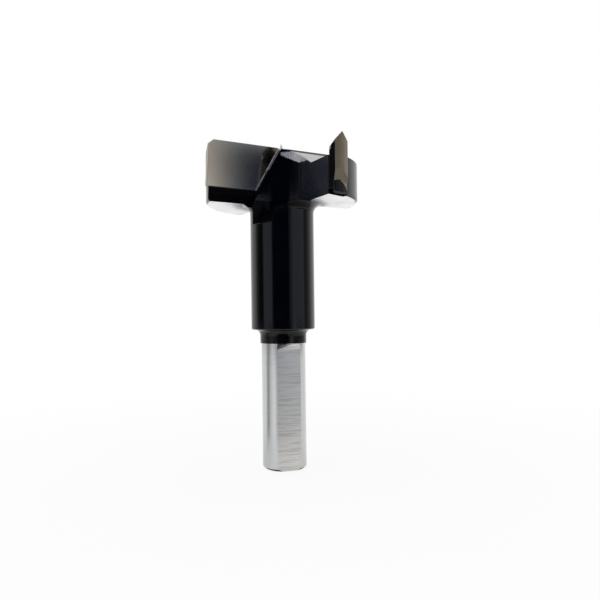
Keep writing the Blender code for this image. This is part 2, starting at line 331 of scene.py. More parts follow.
past_the_table = ramp(sky, round_sky, [
    (at(-180.0), 1.0),
    (at(-100.0), 0.7),
    (at(-80.0), 0.3),
    (at(-60.0), 0.5),
    (at(-42.0), 0.12),
    (at(-20.0), 0.03),
    (at(30.0), 0.03),
    (at(40.0), 1.0),
    (at(46.5), 1.0),
    (at(48.0), (0.88, 0.86, 0.83)),
    (at(49.8), (0.34, 0.36, 0.39)),
    (at(51.2), (0.06, 0.08, 0.12)),
    (at(52.5), (0.012, 0.02, 0.05)),
    (at(72.0), (0.02, 0.03, 0.06)),
    (at(92.0), WARM_WALL),
    (at(112.0), WARM_WALL),
    (at(135.0), 1.0),
])
front_card = ramp(sky, round_sky, [
    (at(-18.0), 0.0),
    (at(-11.0), 1.0),
    (at(-1.8), 1.0),
    (at(-0.4), 0.0),
])
print("the studio has", len(sky.nodes), "nodes so far")

# %% [markdown]
# The three bands are joined by height. Height here is how steeply a ray climbs: 0 is level, and
# just below level it passes over the table's edge. The camera itself always sees plain white.

# %% The room, put together by height
TABLE_EDGE = (-0.047, -0.022)
LOWER_WALL = (-0.113, -0.078)
LOWER_WALL_LEVELS = (1.46, 0.97)
FRONT_CARD_TOP = (-0.072, -0.060)
CARD_TOPS = (0.175, 0.205)
CEILING = (0.45, 0.75)

card_share = times(sky, front_card, map_range(sky, height, FRONT_CARD_TOP, (1.0, 0.0)))
below = blend(sky, card_share, past_the_table, grey(0.95))
below = shaded(sky, below, map_range(sky, height, LOWER_WALL, LOWER_WALL_LEVELS))
walls = blend(sky, map_range(sky, height, CARD_TOPS, smooth=True), side_cards, upper_room)
room = blend(sky, map_range(sky, height, TABLE_EDGE, smooth=True), below, walls)
room = blend(sky, map_range(sky, height, CEILING, smooth=True), room, grey(0.80))
rays = put(sky, "ShaderNodeLightPath")
seen = blend(sky, rays.outputs["Is Camera Ray"], room, grey(1.0))
background = sky.nodes["Background"]
sky.links.new(seen, background.inputs["Color"])
background.inputs["Strength"].default_value = 1.0
print("the room is white behind and dark in front")

# %% [markdown]
# A large soft lamp overhead keeps the shadow under the tool gentle and puts a quiet glint on
# edges that face up.

# %% Soft lamp
LAMP_AIM = Vector((0.0, 0.0, 0.05))

lamp = into_scene("overhead_lamp", bpy.data.lights.new("overhead_lamp", "AREA"))
lamp.data.shape = "DISK"
lamp.data.size = 0.5
lamp.data.energy = 0.55
lamp.location = (-0.25, -0.1, 0.6)
lamp.rotation_euler = (lamp.location - LAMP_AIM).to_track_quat("Z", "Y").to_euler()
print("lamp is", lamp.data.size, "m across")

# %% [markdown]
# The table is a pale round sheet. Part of what the camera sees of it is plain white and part is
# really lit, so that it joins the background and still keeps a soft shadow. What the gloss black
# mirrors of it has a brightness for each bearing, one close in and one far out, because cards and
# lamps never light a table evenly.

# %% Pale table
TABLE_RADIUS = 0.42
SHADOW_REACH = (0.02, 0.14)
CONTACT_REACH = (0.0, 0.02)
CLOSE_TO_FAR = (0.015, 0.055)


def pale_paper():
    """White card that is lit near the tool and plain white farther out."""
    material = bpy.data.materials.new("pale_table")
    material.use_nodes = True
    tree = material.node_tree
    tree.nodes.clear()
    lit = put(tree, "ShaderNodeBsdfDiffuse", {"Color": (*grey(0.92), 1.0)})
    plain = put(tree, "ShaderNodeEmission", {"Strength": 1.0})
    place = put(tree, "ShaderNodeTexCoord").outputs["Object"]
    distance = put(tree, "ShaderNodeVectorMath", {0: place}, operation="LENGTH").outputs["Value"]
    round_table = bearing_share(tree, place)
    far_out = ramp(tree, round_table, [
        (at(-180.0), 1.0),
        (at(-104.0), 0.92),
        (at(-93.0), 0.42),
        (at(-83.0), 0.42),
        (at(-73.0), 0.75),
        (at(-50.0), 1.0),
        (at(-36.0), 0.70),
        (at(-22.0), 0.05),
        (at(20.0), 0.05),
        (at(28.0), 0.60),
        (at(60.0), 0.80),
        (at(110.0), 0.90),
        (at(180.0), 1.0),
    ])
    close_in = ramp(tree, round_table, [
        (at(-180.0), 0.95),
        (at(-100.0), 0.78),
        (at(-70.0), 0.80),
        (at(-45.0), 0.92),
        (at(0.0), (0.78, 0.76, 0.73)),
        (at(60.0), (0.84, 0.83, 0.81)),
        (at(180.0), 0.95),
    ])
    mirrored = blend(tree, map_range(tree, distance, CLOSE_TO_FAR, smooth=True), close_in, far_out)
    paths = put(tree, "ShaderNodeLightPath")
    to_camera, to_gloss = paths.outputs["Is Camera Ray"], paths.outputs["Is Glossy Ray"]
    tree.links.new(blend(tree, to_camera, mirrored, grey(1.0)), plain.inputs["Color"])
    shown = times(tree, to_camera, map_range(tree, distance, SHADOW_REACH, (0.90, 1.0)))
    in_gloss = times(tree, to_gloss, map_range(tree, distance, CONTACT_REACH, (0.8, 1.0)))
    share = math_node(tree, "MAXIMUM", shown, in_gloss)
    sheet = put(tree, "ShaderNodeMixShader", {0: share, 1: lit.outputs[0], 2: plain.outputs[0]})
    put(tree, "ShaderNodeOutputMaterial", {0: sheet.outputs[0]})
    return material


rim = bmesh.new()
bmesh.ops.create_circle(rim, cap_ends=True, segments=ROUND_STEPS, radius=TABLE_RADIUS)
table_sheet = into_scene("table_sheet", mesh_from("table", rim))
table_sheet.data.materials.append(pale_paper())
print("table is", round(table_sheet.dimensions.x, 2), "m across")

# %% [markdown]
# ## What all finishes share
# Each finish starts from Blender's Principled shader. Its marks are noise of a known size in
# millimetres, drawn out along one axis where a wheel made them, and the same noise raises the
# surface a little, so that reflections wander with it.

# %% Helpers for finishes
def finish(name, metallic):
    """A new material with its tree, its shader and the tool's own coordinates."""
    material = bpy.data.materials.new(name)
    material.use_nodes = True
    tree = material.node_tree
    shader = tree.nodes["Principled BSDF"]
    shader.inputs["Metallic"].default_value = metallic
    return material, tree, shader, put(tree, "ShaderNodeTexCoord").outputs["Object"]


def turned_by(tree, place, angle):
    """Coordinates whose X axis points to an angle round the tool."""
    return put(tree, "ShaderNodeMapping", {"Vector": place, "Rotation": (0.0, 0.0, -angle)}).outputs[0]


def speckle(tree, place, size, stretch=(1.0, 1.0, 1.0), detail=3.0, seed=0.0):
    """Noise whose spots are about size millimetres wide, drawn out along an axis by stretch."""
    scale = tuple(1.0 / (size * MM * draw) for draw in stretch)
    inputs = {"Vector": place, "Scale": scale, "Location": (seed, seed, seed)}
    spread = put(tree, "ShaderNodeMapping", inputs).outputs[0]
    return put(tree, "ShaderNodeTexNoise", {"Vector": spread, "Scale": 1.0, "Detail": detail}).outputs[0]


def roughen(tree, shader, level, rough):
    """Joins a roughness that runs between two values to the shader."""
    dull = ramp(tree, level, [(0.3, rough[0]), (0.7, rough[1])])
    tree.links.new(dull, shader.inputs["Roughness"])


def raise_surface(tree, shader, level, depth):
    """Joins a height to the shader; depth is in millimetres."""
    bump = put(tree, "ShaderNodeBump", {"Height": level, "Distance": depth * MM, "Strength": 1.0})
    tree.links.new(bump.outputs[0], shader.inputs["Normal"])


print("finish helpers ready")

# %% [markdown]
# ## Where the enamel is ground off
# The relief behind the edges is ground after painting, and the wheel runs over the upper corner of
# each gullet, so a crescent of bare steel shows there. The line it leaves is worked out from where
# a point lies on its wing: it climbs along the wing, falls ahead of it and ends steeply at both
# sides. A coarse noise makes it ragged.

# %% The worn corner of each gullet
# Places are in millimetres on the wing; the climb, the fall and the ends are per millimetre
WORN_LINE = 70.94
WORN_CLIMB = 0.394
WORN_FALL = 0.291
WORN_LOWEST = 68.80
WORN_ENDS = (-3.05, 0.5)
END_STEEPNESS = (20.0, 6.0)
WORN_EDGE = (-0.04, 0.10)
WORN_TOP = (71.7, 71.9)
RAGGED = 0.5


def steep_past(tree, beyond, steepness):
    """Nothing up to a limit, and a steep climb beyond it."""
    return times(tree, math_node(tree, "MAXIMUM", beyond, 0.0), steepness)


def worn_through(tree, place):
    """Where the relief wheel has run over the corner of each gullet and ground the enamel off."""
    part = put(tree, "ShaderNodeSeparateXYZ", {0: turned_by(tree, place, WING_FACING)})
    side = math_node(tree, "SIGN", part.outputs["Y"])
    along = times(tree, times(tree, part.outputs["X"], side), 1.0 / MM)
    ahead = times(tree, math_node(tree, "ABSOLUTE", part.outputs["Y"]), 1.0 / MM)
    level_here = times(tree, part.outputs["Z"], 1.0 / MM)
    slope = minus(tree, times(tree, along, WORN_CLIMB), times(tree, ahead, WORN_FALL))
    line = math_node(tree, "MAXIMUM", plus(tree, slope, WORN_LINE), WORN_LOWEST)
    inner_end = steep_past(tree, minus(tree, WORN_ENDS[0], along), END_STEEPNESS[0])
    outer_end = steep_past(tree, minus(tree, along, WORN_ENDS[1]), END_STEEPNESS[1])
    limit = plus(tree, line, plus(tree, inner_end, outer_end))
    ragged = times(tree, speckle(tree, place, 0.5, seed=8.0), RAGGED)
    above = plus(tree, minus(tree, level_here, limit), minus(tree, ragged, RAGGED / 2.0))
    ground_off = map_range(tree, above, WORN_EDGE)
    below_top = map_range(tree, plus(tree, level_here, ragged), WORN_TOP, (1.0, 0.0))
    return times(tree, ground_off, below_top)


print("the worn corner reaches down to", WORN_LOWEST, "mm")

# %% [markdown]
# ## Black enamel
# Head, sleeve and neck are dipped or sprayed in black enamel. Close up it is never a perfect
# mirror: it lies in a fine orange peel, holds a little dust and is a touch duller where it is
# thin. A dielectric with a low specular level gives the deep black. It is glossy on the round
# parts. On the milled walls of the gullets it is hazy, with a pale colour added as painted
# reflection. Under the plates a copy with almost no mirroring is painted shade, and where the
# gullets run out and on the sides of the spurs a dimmer copy with less mirroring is painted shade.

# %% Four kinds of black enamel
DUST_ROUGHNESS = 0.30
BARED_ROUGHNESS = 0.46
THICK_BLACK = (0.0006, 0.0009, 0.0018)
THIN_BLACK = (0.0014, 0.0016, 0.0028)


def black_enamel(name, rough, specular, painted_sheen=(0.0, 0.0, 0.0)):
    """Black enamel: rough is the range of its dullness, specular its mirroring, haze a pale painted
    reflection.
    """
    material, tree, shader, place = finish(name, 0.0)
    cloud = speckle(tree, place, 3.0)
    specks = speckle(tree, place, 0.22, detail=1.0, seed=3.0)
    dust = ramp(tree, specks, [(0.0, 0.0), (0.70, 0.0), (0.78, 1.0)])
    peel = speckle(tree, place, 0.7, detail=2.0, seed=7.0)
    # The pale colour added to both blacks is painted reflection.
    thick = tuple(a + b for a, b in zip(THICK_BLACK, painted_sheen))
    thin = tuple(a + b for a, b in zip(THIN_BLACK, painted_sheen))
    black = ramp(tree, cloud, [(0.3, thick), (0.7, thin)])
    bare = worn_through(tree, place)
    streaks = speckle(tree, place, 0.16, (1.0, 1.0, 5.0), detail=2.0, seed=12.0)
    ground = ramp(tree, streaks, [(0.35, (0.62, 0.61, 0.64)), (0.50, (0.95, 0.94, 0.96))])
    tree.links.new(blend(tree, bare, black, ground), shader.inputs["Base Color"])
    tree.links.new(bare, shader.inputs["Metallic"])
    dull = ramp(tree, cloud, [(0.3, rough[0]), (0.7, rough[1])])
    dull = blend(tree, dust, dull, grey(max(DUST_ROUGHNESS, rough[1])))
    dull = blend(tree, bare, dull, grey(BARED_ROUGHNESS))
    tree.links.new(dull, shader.inputs["Roughness"])
    raise_surface(tree, shader, plus(tree, peel, times(tree, dust, 0.6)), 0.006)
    shader.inputs["Specular IOR Level"].default_value = specular
    return material


enamel = black_enamel("gloss_black_enamel", (0.06, 0.11), 0.30)
# Milled walls are duller, and the pale colour in their enamel is painted reflection.
milled_enamel_with_sheen = black_enamel("hazy_black_enamel_with_sheen", (0.22, 0.30), 0.34, (0.0160, 0.0180, 0.0290))
# Painted shade: a copy with almost no mirroring, for the rake face under each plate.
shaded_enamel = black_enamel("shaded_black_enamel", (0.10, 0.16), 0.02)
# Painted shade: a dimmer copy with less mirroring, where the gullets run out and on the spurs' sides.
dimmed_enamel = black_enamel("dimmed_black_enamel", (0.12, 0.18), 0.10)
print("finishes:", enamel.name, milled_enamel_with_sheen.name, shaded_enamel.name, dimmed_enamel.name)

# %% [markdown]
# ## Painted shade on the bare steel
# Two bare faces are darkened by painted shade. The underside of the head is dark at the sleeve,
# gone near the rim and a little lighter toward one side. The clamping flat has a dark corner under
# the neck, where the wheel ran out. Both are patterns that darken the steel, worked out from where
# a point lies.

# %% Painted shade under the head and under the neck
# Painted shade under the head: its wander, its lean toward +X, and how bare the steel shows at each radius in
# millimetres.
SHADE_WANDER = 1.2
SHADE_SIDEWAYS = 0.045
UNDERSIDE_SHADE_STOPS = ((8.9, 0.03), (9.8, 0.22), (10.5, 0.45), (11.1, 0.75), (12.2, 0.88), (16.4, 1.0))
# Painted shade in the corner of the flat under the neck: its start, slope, ragged edge, span and darkest
# level, in millimetres where they are lengths.
NECK_SHADE_START = 2.68
NECK_SHADE_SLOPE = 0.36
NECK_SHADE_RAGGED = 0.5
NECK_SHADE_EDGE = (27.10, 27.35)
NECK_SHADE_LEVEL = 0.22


def underside_shade(tree, place, _turned):
    """Painted shade on the bare underside: dark at the sleeve, gone near the rim, lighter toward +X."""
    level = put(tree, "ShaderNodeVectorMath", {0: place, 1: (1.0, 1.0, 0.0)}, operation="MULTIPLY")
    radius = put(tree, "ShaderNodeVectorMath", {0: level.outputs[0]}, operation="LENGTH")
    wander = minus(tree, speckle(tree, place, 0.9, seed=2.0), 0.5)
    cloud = times(tree, wander, SHADE_WANDER * MM)
    part = put(tree, "ShaderNodeSeparateXYZ", {0: place})
    # The underside is left lighter toward +X, painted shade on one side.
    sideways = times(tree, part.outputs["X"], SHADE_SIDEWAYS)
    reach = plus(tree, plus(tree, radius.outputs["Value"], cloud), sideways)
    share = math_node(tree, "DIVIDE", reach, HEAD_RADIUS * MM)
    return ramp(tree, share, [(out / HEAD_RADIUS, bare) for out, bare in UNDERSIDE_SHADE_STOPS], smooth=False)


def painted_neck_shade(tree, place, turned):
    """Painted shade: a dark corner on the flat under the neck, where the wheel ran out."""
    part = put(tree, "ShaderNodeSeparateXYZ", {0: turned})
    slope = times(tree, plus(tree, part.outputs["Y"], NECK_SHADE_START * MM), NECK_SHADE_SLOPE)
    ragged = times(tree, speckle(tree, place, 0.25, seed=6.0), NECK_SHADE_RAGGED * MM)
    level = minus(tree, plus(tree, part.outputs["Z"], ragged), slope)
    return map_range(tree, level, tuple(edge * MM for edge in NECK_SHADE_EDGE), (1.0, NECK_SHADE_LEVEL))


print("the neck_shade starts at", NECK_SHADE_EDGE[0], "mm")

# %% [markdown]
# ## Ground steel
# The shank is ground on centres after the hardening, which leaves fine rings round it, and the
# clamping flat is surface ground, which leaves straight marks across it that fade in and out. The
# relief behind the edges is ground by hand along the edge, and the underside is faced on the
# lathe. All are the same steel, so one recipe takes the direction of the marks and how coarse
# they are.

# %% Ground steel in four grinds
def ground_steel(name, turn, size, stretch, tones, rough, depth, shade=None):
    """Steel with grinding marks; turn brings the marks' direction onto the pattern's axes."""
    material, tree, shader, place = finish(name, 1.0)
    turned = turned_by(tree, place, turn)
    marks = speckle(tree, turned, size, stretch, detail=4.0)
    broad = speckle(tree, turned, size * 5.0, stretch, detail=2.0, seed=5.0)
    cloud = speckle(tree, place, 4.0, seed=9.0)
    tone = ramp(tree, broad, [(0.34, tones[0]), (0.52, tones[1]), (0.72, tones[1])])
    line = ramp(tree, marks, [(0.26, 0.90), (0.42, 1.0), (1.0, 1.0)])
    colour = shaded(tree, tone, line)
    if shade:
        colour = shaded(tree, colour, shade(tree, place, turned))
    tree.links.new(colour, shader.inputs["Base Color"])
    roughen(tree, shader, times(tree, plus(tree, marks, cloud), 0.5), rough)
    raise_surface(tree, shader, plus(tree, marks, times(tree, broad, 0.7)), depth)
    return material


shank_steel = ground_steel(
    "ground_shank_steel", 0.0, 0.06, (60.0, 60.0, 1.0),
    ((0.585, 0.59, 0.595), (0.605, 0.615, 0.62)), (0.12, 0.18), 0.0010,
)
flat_steel = ground_steel(
    "ground_flat_steel", FLAT_FACING, 0.055, (40.0, 22.0, 1.0),
    ((0.59, 0.58, 0.575), (0.75, 0.745, 0.74)), (0.26, 0.36), 0.005, painted_neck_shade,
)
relief_steel = ground_steel(
    "ground_relief_steel", WING_FACING, 0.06, (50.0, 1.0, 1.0),
    ((0.46, 0.455, 0.48), (0.60, 0.595, 0.62)), (0.24, 0.36), 0.004,
)
underside_steel = ground_steel(
    "faced_underside_steel", 0.0, 0.15, (8.0, 8.0, 1.0),
    ((0.70, 0.70, 0.71), (0.84, 0.84, 0.84)), (0.25, 0.35), 0.003, underside_shade,
)
print("finishes:", shank_steel.name, flat_steel.name, relief_steel.name, underside_steel.name)

# %% [markdown]
# ## Ground carbide
# Cemented carbide is greyer and warmer than steel. The rake faces are lapped nearly to a mirror,
# with faint clouds of brown and green where the wheel has heated them. The outer faces of the
# spurs and the plates' other sides are left with a satin grind. The narrow land behind each
# cutting edge has a darker copy of the carbide with dimmer mirroring, painted shade for the way it
# turns away from every card.

# %% Lapped, satin and shaded land carbide
def ground_carbide(name, size, tones, rough, depth, seed):
    """Carbide with fine marks along the wings and slow clouds of tint."""
    material, tree, shader, place = finish(name, 1.0)
    turned = turned_by(tree, place, WING_FACING)
    marks = speckle(tree, turned, size, (30.0, 1.0, 1.6), detail=4.0, seed=seed)
    cloud = speckle(tree, place, 3.2, detail=1.0, seed=seed + 2.0)
    grain = speckle(tree, place, 0.08, detail=1.0, seed=seed + 4.0)
    tint = ramp(tree, cloud, [(0.30, tones[0]), (0.50, tones[1]), (0.70, tones[2])])
    tree.links.new(tint, shader.inputs["Base Color"])
    roughen(tree, shader, times(tree, plus(tree, marks, grain), 0.5), rough)
    raise_surface(tree, shader, marks, depth)
    return material


lapped_carbide = ground_carbide(
    "lapped_carbide", 0.05, ((0.37, 0.325, 0.27), (0.355, 0.335, 0.29), (0.39, 0.335, 0.30)),
    (0.07, 0.10), 0.0002, 1.0,
)
satin_carbide = ground_carbide(
    "satin_carbide", 0.07, ((0.31, 0.255, 0.18), (0.33, 0.275, 0.20), (0.35, 0.295, 0.225)),
    (0.28, 0.38), 0.0016, 11.0,
)
# Painted shade: the land is a darker copy of the carbide.
shaded_land_carbide = ground_carbide(
    "shaded_land_carbide", 0.06, ((0.16, 0.145, 0.12), (0.20, 0.18, 0.15), (0.23, 0.21, 0.18)),
    (0.30, 0.42), 0.0016, 21.0,
)
# Its dim specular tint darkens its mirroring, painted shade too.
shaded_land_shader = shaded_land_carbide.node_tree.nodes["Principled BSDF"]
shaded_land_shader.inputs["Specular Tint"].default_value = (0.04, 0.04, 0.05, 1.0)
print("finishes:", lapped_carbide.name, satin_carbide.name, shaded_land_carbide.name)

# %% [markdown]
# ## Brazing alloy
# Silver alloy freezes bright and a little rippled. It is seen only as the fine beads beside the
# plates, so one soft ripple in colour, roughness and height is enough.

# %% Bright brazing alloy
def brazing_alloy(name):
    """Silver alloy as it freezes in a seam."""
    material, tree, shader, place = finish(name, 1.0)
    ripple = speckle(tree, place, 0.35, detail=2.0, seed=4.0)
    colour = ramp(tree, ripple, [(0.3, (0.78, 0.74, 0.66)), (0.7, (0.92, 0.89, 0.84))])
    tree.links.new(colour, shader.inputs["Base Color"])
    roughen(tree, shader, ripple, (0.22, 0.40))
    raise_surface(tree, shader, ripple, 0.01)
    return material


bright_braze = brazing_alloy("bright_braze")
print("finish:", bright_braze.name)

# %% [markdown]
# ## Dressed copies of the solids
# A loaded solid is a bag of loose triangles. A copy with its corners merged and its flat faces
# joined up can be given softened edges by a Bevel modifier, as paint and honing leave them. Every
# face gets its finish by where it lies and which way it looks, as a painter masks a tool.

# %% Copy a solid and soften its edges
MERGE_DISTANCE = 2e-6
FLAT_WITHIN = math.radians(0.3)
SMOOTH_ANGLE = math.radians(24.0)


def dressed_copy(node_name, piece_name, finishes, choose, edge_width, ring_levels=()):
    """A merged copy of a solid with bevelled edges; choose(centre, normal) picks each finish.

    Rings cut at some levels keep the shading of long round faces straight beside what ends them.
    """
    work = bmesh.new()
    work.from_mesh(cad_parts[node_name].data)
    bmesh.ops.remove_doubles(work, verts=work.verts, dist=MERGE_DISTANCE)
    bmesh.ops.dissolve_limit(work, angle_limit=FLAT_WITHIN, verts=work.verts, edges=work.edges)
    for level in ring_levels:
        bmesh.ops.bisect_plane(
            work, geom=list(work.verts) + list(work.edges) + list(work.faces), dist=1e-8,
            plane_co=(0.0, 0.0, level * MM), plane_no=(0.0, 0.0, 1.0),
        )
    bmesh.ops.recalc_face_normals(work, faces=work.faces)
    for face in work.faces:
        face.material_index = choose(face.calc_center_median() / MM, face.normal)
        face.smooth = True
    mesh = mesh_from(piece_name, work)
    for material in finishes:
        mesh.materials.append(material)
    piece = into_scene(piece_name, mesh)
    mesh.set_sharp_from_angle(angle=SMOOTH_ANGLE)
    soften = piece.modifiers.new("soft_edges", "BEVEL")
    soften.width = edge_width * MM
    soften.segments = 2
    soften.limit_method = "ANGLE"
    soften.angle_limit = SMOOTH_ANGLE
    soften.miter_outer = "MITER_ARC"
    soften.use_clamp_overlap = True
    soften.harden_normals = True
    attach(piece, "root")
    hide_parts(node_name)
    print(piece_name, "has", len(mesh.polygons), "faces before its edges are softened")
    return piece


print("edges sharper than", round(math.degrees(SMOOTH_ANGLE)), "degrees will be softened")

# %% [markdown]
# ## The body
# On the body the enamel stops at the small step above the shank. Below it the round is ground
# bare, and so are the clamping flat and the end, but the chamfer at the end is given black enamel
# as painted shade. On the head the relief behind the edges, the centre point and the flat underside
# are bare too. The walls of the gullets are milled, so the enamel on them is hazy, with a pale
# colour added as painted reflection. Under the plates, and where the gullets run out, the enamel
# is a copy with less mirroring, as painted shade.

# %% Body with its painted and bare faces
BODY_FINISHES = [
    enamel, shank_steel, flat_steel, relief_steel,
    underside_steel, milled_enamel_with_sheen, shaded_enamel, dimmed_enamel,
]
GLOSSY, ROUND, FLAT, GROUND, FACED, HAZY_WITH_SHEEN, SHADED_UNDER_PLATE, DIMMED = range(len(BODY_FINISHES))
SHADING_RINGS = (1.0, 26.5, 29.9, 32.0, 54.3, 54.75, 60.4, 61.5, 67.6)
CHAMFER_TOP = 0.6
FLAT_RUN_OUT = 26.0
# Where the finishes of a gullet lie on their wing: along it from the axis, and ahead of its edge
UNDER_PLATE_ALONG = 1.0
UNDER_PLATE_AHEAD = -3.5
WALL_ALONG = (-3.3, 0.0)
WALL_AHEAD = 0.3
RUN_OUT_LEVELS = (54.0, 60.4)
RUN_OUT_ALONG = (-3.5, 9.0)
RUN_OUT_AHEAD = -4.0
flat_direction = Vector((math.cos(FLAT_FACING), math.sin(FLAT_FACING), 0.0))


def gullet_finish(centre, normal):
    """Hazy with painted reflection on the gullets' upright walls; painted shade under a plate and where the
    gullets run out.
    """
    outward = Vector((centre.x, centre.y, 0.0)).normalized()
    for _, turn in WINGS:
        to_wing = wing_frame(turn).inverted()
        part = to_wing @ centre
        facing = to_wing.to_3x3() @ normal
        raked = facing.z < -0.1 and abs(facing.y - math.cos(RAKE)) < 0.03
        # The rake face under a plate takes the copy with almost no mirroring, as painted shade.
        if raked and part.x > UNDER_PLATE_ALONG and part.y > UNDER_PLATE_AHEAD:
            return SHADED_UNDER_PLATE
        # The upright walls take the hazy enamel with its painted reflection.
        wall = facing.x > 0.95 and centre.z > HEAD_BOTTOM
        if wall and part.y > WALL_AHEAD and WALL_ALONG[0] < part.x < WALL_ALONG[1]:
            return HAZY_WITH_SHEEN
        # Low on the head, where the gullets run out, the dimmer copy paints shade.
        low = RUN_OUT_LEVELS[0] < centre.z < RUN_OUT_LEVELS[1]
        milled = abs(normal.z) < 0.9 and abs(normal.dot(outward)) < 0.96
        in_reach = part.y > RUN_OUT_AHEAD and RUN_OUT_ALONG[0] < part.x < RUN_OUT_ALONG[1]
        if low and milled and in_reach:
            return DIMMED
    return GLOSSY


def shank_finish(centre, normal):
    """Bare round, bare flat and end face, with black enamel as painted shade on the chamfer between end and
    round.
    """
    # The chamfer takes black enamel as painted shade for the shadow it mirrors under the tool.
    if normal.z < -0.2 and centre.z < CHAMFER_TOP:
        return ROUND if normal.z < -0.95 else GLOSSY
    if centre.z > FLAT_RUN_OUT and normal.z < -0.05:
        return FLAT
    on_flat = normal.dot(flat_direction) > 0.995
    return FLAT if on_flat and centre.dot(flat_direction) < FLAT_RADIUS + 0.18 else ROUND


def body_finish(centre, normal):
    """Which finish a face of the body has, by its place in millimetres and its direction."""
    if centre.z < SHANK_LENGTH - 0.005:
        return shank_finish(centre, normal)
    if normal.z < -0.98 and abs(centre.z - HEAD_BOTTOM) < 0.05:
        return FACED
    if centre.z > LOBE_TOP - 0.1 and 0.2 < normal.z < 0.97:
        return GROUND
    return gullet_finish(centre, normal)


body_piece = dressed_copy("body", "bit_body", BODY_FINISHES, body_finish, 0.09, SHADING_RINGS)

# %% [markdown]
# ## Main cutting plates and spurs
# The plates are honed, so their edges are hardly softened at all. The spurs' outer faces and the
# leading slope of each point are ground bare after painting, while their other sides keep enamel,
# in the dimmer copy that paints shade on them.

# %% Carbide plates
PLATE_FINISHES = [lapped_carbide, satin_carbide, shaded_land_carbide]
LAPPED, SATIN, SHADED_LAND = range(len(PLATE_FINISHES))
SPUR_FINISHES = [satin_carbide, dimmed_enamel]
BARE, PAINTED = range(len(SPUR_FINISHES))
AHEAD = Vector((0.0, 1.0, 0.0))
OUT = Vector((1.0, 0.0, 0.0))


def plate_finish(turn):
    """Lapped on the raked face, a darker copy as painted shade on the land behind the edge, satin on every
    other side.
    """
    ahead = face_frame(turn).to_3x3() @ AHEAD

    def choose(_centre, normal):
        if normal.dot(ahead) > 0.9:
            return LAPPED
        return SHADED_LAND if normal.z > 0.7 else SATIN

    return choose


def spur_finish(turn):
    """Satin carbide outside and on the leading slope of the point, dimmer enamel as painted shade on all
    other sides.
    """
    out = spur_frame(turn).to_3x3() @ OUT
    leading = spur_frame(turn).to_3x3() @ AHEAD

    def choose(_centre, normal):
        on_slope = normal.z > 0.3 and normal.dot(leading) > 0.1
        return BARE if on_slope or normal.dot(out) > 0.8 else PAINTED

    return choose


for label, turn in WINGS:
    plate = dressed_copy(
        f"main_cutter_{label}", f"cutting_plate_{label}", PLATE_FINISHES, plate_finish(turn), 0.04,
    )
    spur = dressed_copy(f"spur_{label}", f"spur_plate_{label}", SPUR_FINISHES, spur_finish(turn), 0.05)

# %% [markdown]
# ## Brazing metal
# Silver brazing alloy fills the gap behind and under each plate. It is cut here as the joiner
# would see it with the plate taken out: the shape of the seat, less the shape of the plate. So a
# blank is extruded from an outline, and Boolean modifiers cut it with tools made the same way.

# %% Blanks and cuts
BAR_OVERSHOOT = 5.0


def prism(name, outline, low, high, matrix, plane):
    """Extrudes an outline in millimetres between two levels of the given frame."""
    along = {"xy": 2, "xz": 1, "yz": 0}[plane]
    across = {"xy": (0, 1), "xz": (0, 2), "yz": (1, 2)}[plane]
    work = bmesh.new()
    rings = []
    for level in (low, high):
        ring = []
        for pair in outline:
            point = Vector((0.0, 0.0, 0.0))
            point[across[0]], point[across[1]] = pair
            point[along] = level
            ring.append(work.verts.new((matrix @ point) * MM))
        rings.append(ring)
        work.faces.new(ring)
    count = len(outline)
    for index in range(count):
        after = (index + 1) % count
        work.faces.new((rings[0][index], rings[0][after], rings[1][after], rings[1][index]))
    bmesh.ops.recalc_face_normals(work, faces=work.faces)
    return into_scene(name, mesh_from(name, work))


def carved(blank, steps, material):
    """Applies the cuts to a blank, takes the tools away and gives back one plain mesh."""
    for tool, operation in steps:
        cut = blank.modifiers.new("cut", "BOOLEAN")
        cut.object = tool
        cut.operation = operation
        cut.solver = "EXACT"
    shape = made_plain(blank)
    for tool, _ in steps:
        bpy.data.objects.remove(tool, do_unlink=True)
    shape.materials.clear()
    shape.materials.append(material)
    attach(blank, "root")
    print(blank.name, "has", len(shape.polygons), "faces")
    return blank


def rim_round(radius):
    """A round bar on the axis, as a many-sided prism."""
    angles = [math.tau * step / ROUND_STEPS for step in range(ROUND_STEPS)]
    outline = [(radius * math.cos(angle), radius * math.sin(angle)) for angle in angles]
    low, high = HEAD_BOTTOM - BAR_OVERSHOOT, CUTTING_HEIGHT + BAR_OVERSHOOT
    return prism("rim_round", outline, low, high, Matrix.Identity(4), "xy")


print("blanks are cut to the head's round with", ROUND_STEPS, "sides")

# %% [markdown]
# Where the filling comes to the surface it lies a little below it, which is the dark line behind
# the edge. It has the body's enamel, because the whole head is painted after the brazing.

# %% Fillings of the plates' seats
# A filling stays SKIN inside its seam and SUNK below the edge; cuts reach past it on open sides
SKIN = 0.01
SUNK = 0.12
BLANK_LENGTH = 18.0
FAR_OUT = 20.0
FAR_UP = 4.0
FAR_DOWN = 14.0


def inner_edge(depth, inset):
    """How far out the plate's slanted inner end lies, at a depth under the edge."""
    return PLATE_START + depth * math.tan(PLATE_SLANT) - inset / math.cos(PLATE_SLANT)


def slanted_outline(depth, inset):
    """The outline of a plate seen from ahead: open outwards and upwards, and down to a depth."""
    foot, head = inner_edge(depth, inset), inner_edge(-FAR_UP, inset)
    return [(foot, -depth), (FAR_OUT, -depth), (FAR_OUT, FAR_UP), (head, FAR_UP)]


